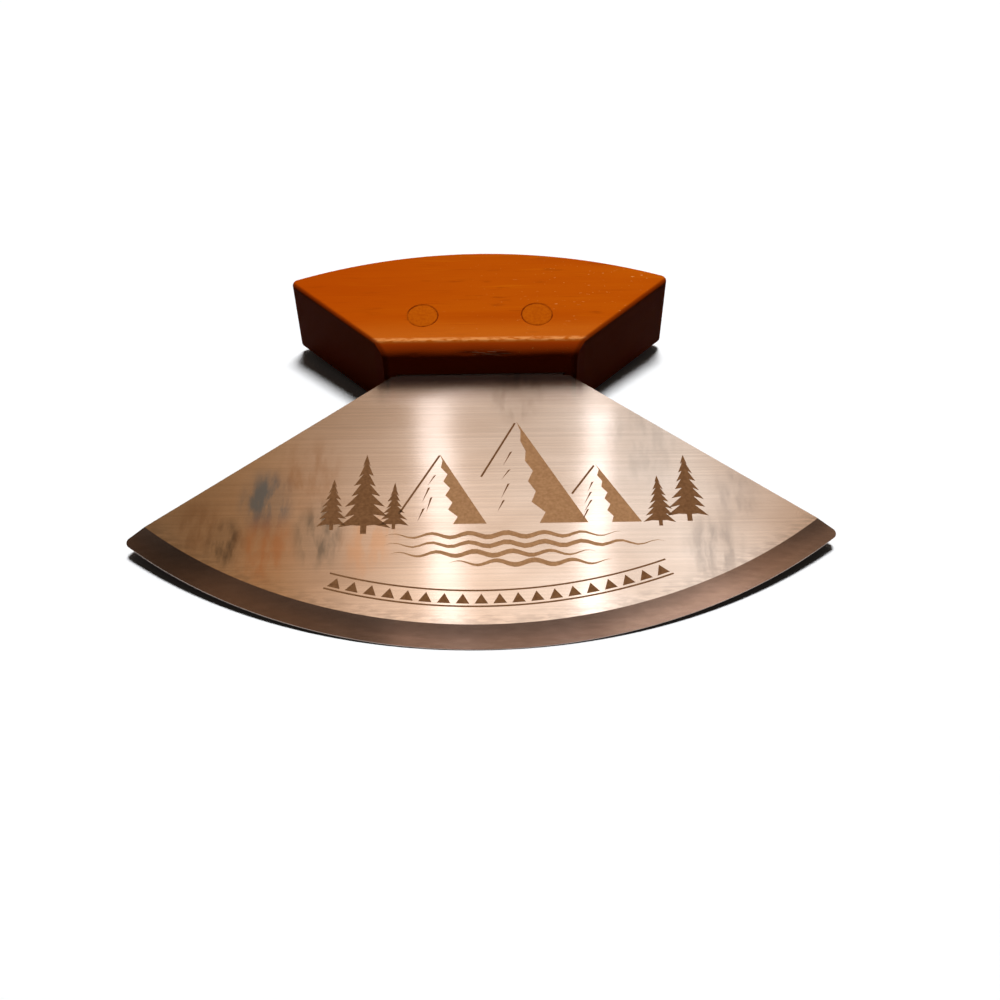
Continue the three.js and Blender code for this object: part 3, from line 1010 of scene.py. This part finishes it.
def first_hand(tree, path):
    """1 for a reflection that is seen directly, and 0 for one that only lights another surface."""
    direct = add(tree, "Math", {0: path["Diffuse Depth"], 1: 0.5}, operation="LESS_THAN")
    return add(tree, "Math", {0: path["Is Glossy Ray"], 1: direct.outputs[0]},
               operation="MULTIPLY").outputs[0]


def white_table():
    """White card under the knife. It is white to the eye and in reflections, throws little light back, and
    runs out into the white backdrop."""
    card = bmesh.new()
    bmesh.ops.create_grid(card, x_segments=1, y_segments=1, size=TABLE_HALF)
    table = shown("table", card)
    material = bpy.data.materials.new("white_card")
    material.use_nodes = True
    tree = material.node_tree
    shader = tree.nodes["Principled BSDF"]
    path = add(tree, "LightPath").outputs
    eye = add(tree, "Math", {0: path["Is Camera Ray"], 1: first_hand(tree, path)}, operation="MAXIMUM")
    seen = add(tree, "Math", {0: eye.outputs[0], 1: path["Is Transmission Ray"]}, operation="MAXIMUM")
    colour = add(tree, "Mix", {FACTOR: seen.outputs[0], FIRST: linear("#17120f"),
                               SECOND: linear("#ffffff")}, data_type="RGBA")
    tree.links.new(colour.outputs[MIXED], shader.inputs["Base Color"])
    shader.inputs["Roughness"].default_value = 0.9
    shader.inputs["Specular IOR Level"].default_value = 0.0
    place = add(tree, "TexCoord").outputs["Object"]
    away = add(tree, "VectorMath", {0: place}, operation="LENGTH")
    far = add(tree, "MapRange", {"Value": away.outputs["Value"], "From Min": TABLE_WHOLE,
                                 "From Max": TABLE_GONE}, interpolation_type="SMOOTHSTEP")
    share = add(tree, "Math", {0: far.outputs[0], 1: seen.outputs[0]}, operation="MULTIPLY")
    backdrop = add(tree, "Emission", {"Color": linear("#ffffff"), "Strength": 1.0})
    card_or_backdrop = add(tree, "MixShader",
                           {0: share.outputs[0], 1: shader.outputs[0], 2: backdrop.outputs[0]})
    tree.links.new(card_or_backdrop.outputs[0], tree.nodes["Material Output"].inputs["Surface"])
    table.data.materials.append(material)


def studio():
    """Room round the knife: white to the eye and dim as a light. The steel sees a white backdrop all round
    and a ceiling above it, dark overhead, grey in front of the knife and to either side. Behind the knife
    the ceiling is lit: warm and dim to the left, pale to the right, and more even further back."""
    world = bpy.data.worlds.new("studio")
    world.use_nodes = True
    bpy.context.scene.world = world
    tree = world.node_tree
    path = add(tree, "LightPath").outputs
    direction = add(tree, "TexCoord").outputs["Generated"]
    way = add(tree, "SeparateXYZ", {0: direction}).outputs
    across = add(tree, "Math", {0: way["X"], 1: way["Z"]}, operation="DIVIDE").outputs[0]
    back = add(tree, "Math", {0: way["Y"], 1: way["Z"]}, operation="DIVIDE").outputs[0]
    left_to_right = add(tree, "MapRange", {"Value": across, "From Min": CEILING_LEFT,
                                           "From Max": CEILING_RIGHT})
    hue = add(tree, "ValToRGB", {"Fac": left_to_right.outputs[0]}, stops=CEILING_HUES)
    bright = add(tree, "VectorMath", {0: hue.outputs[0], "Scale": CEILING_BRIGHTNESS}, operation="SCALE")
    even = add(tree, "ValToRGB", {"Fac": left_to_right.outputs[0]}, stops=FURTHER_HUES)
    further = add(tree, "MapRange", {"Value": back, "From Min": FURTHER_STARTS,
                                     "From Max": FURTHER_WHOLE}, interpolation_type="SMOOTHSTEP")
    lit = add(tree, "Mix", {FACTOR: further.outputs[0], FIRST: bright.outputs[0],
                            SECOND: even.outputs[0]}, data_type="RGBA")
    behind = add(tree, "MapRange", {"Value": back, "From Min": LIT_STARTS, "From Max": LIT_WHOLE},
                 interpolation_type="SMOOTHSTEP")
    overhead = add(tree, "Mix", {FACTOR: behind.outputs[0], FIRST: linear("#120e0b"),
                                 SECOND: lit.outputs[MIXED]}, data_type="RGBA")
    in_front = add(tree, "MapRange", {"Value": way["Y"], "From Min": FRONT_STARTS,
                                      "From Max": FRONT_WHOLE})
    sideways = add(tree, "Math", {0: way["X"]}, operation="ABSOLUTE")
    beside = add(tree, "MapRange", {"Value": sideways.outputs[0], "From Min": BESIDE_STARTS,
                                    "From Max": BESIDE_WHOLE})
    off_middle = add(tree, "Math", {0: in_front.outputs[0], 1: beside.outputs[0]}, operation="MAXIMUM")
    ceiling = add(tree, "Mix", {FACTOR: off_middle.outputs[0], FIRST: overhead.outputs[MIXED],
                                SECOND: linear("#cac2ba")}, data_type="RGBA")
    low = add(tree, "MapRange", {"Value": way["Z"], "From Min": WALL_STARTS, "From Max": WALL_WHOLE})
    room = add(tree, "Mix", {FACTOR: low.outputs[0], FIRST: ceiling.outputs[MIXED],
                             SECOND: linear("#ffffff")}, data_type="RGBA")
    clear = add(tree, "Math", {0: path["Is Camera Ray"], 1: path["Is Transmission Ray"]},
                operation="MAXIMUM")
    plain = add(tree, "Mix", {FACTOR: clear.outputs[0], FIRST: linear("#2e2a27"),
                              SECOND: linear("#ffffff")}, data_type="RGBA")
    seen = add(tree, "Mix", {FACTOR: first_hand(tree, path), FIRST: plain.outputs[MIXED],
                             SECOND: room.outputs[MIXED]}, data_type="RGBA")
    tree.links.new(seen.outputs[MIXED], tree.nodes["Background"].inputs["Color"])


white_table()
studio()
# This lamp lights the wood, and the steel mirrors the ceiling instead of it
overhead = lamp("overhead", OVERHEAD_PLACE, (0, 0, 0), OVERHEAD_WIDTH, OVERHEAD_WIDTH,
                OVERHEAD_BRIGHTNESS, "#fbfdff")
overhead.visible_glossy = False
for x, shift, width, brightness, colour in TUBES:
    lamp("tube", (x, TUBE_BEHIND, TUBE_HEIGHT), (x + shift, 0, 0), width, TUBE_LENGTH, brightness, colour)
for x, width, brightness, colour in BEVEL_PANELS:
    lamp("bevel_panel", (x, PANEL_BEHIND, PANEL_HEIGHT), (x, 0, 0), width, PANEL_DEPTH, brightness, colour)

camera_data = bpy.data.cameras.new("camera")
camera_data.sensor_width = SENSOR_WIDTH
camera_data.lens = LENS_LENGTH
camera_data.clip_start = CLIP_START
camera = bpy.data.objects.new("camera", camera_data)
camera.location = CAMERA_PLACE
turned = (CAMERA_AIM - CAMERA_PLACE).to_track_quat("-Z", "Y") @ Quaternion((0, 0, 1), CAMERA_ROLL)
camera.rotation_euler = turned.to_euler()
bpy.context.scene.collection.objects.link(camera)
bpy.context.scene.camera = camera
bpy.context.scene.view_settings.view_transform = "Standard"
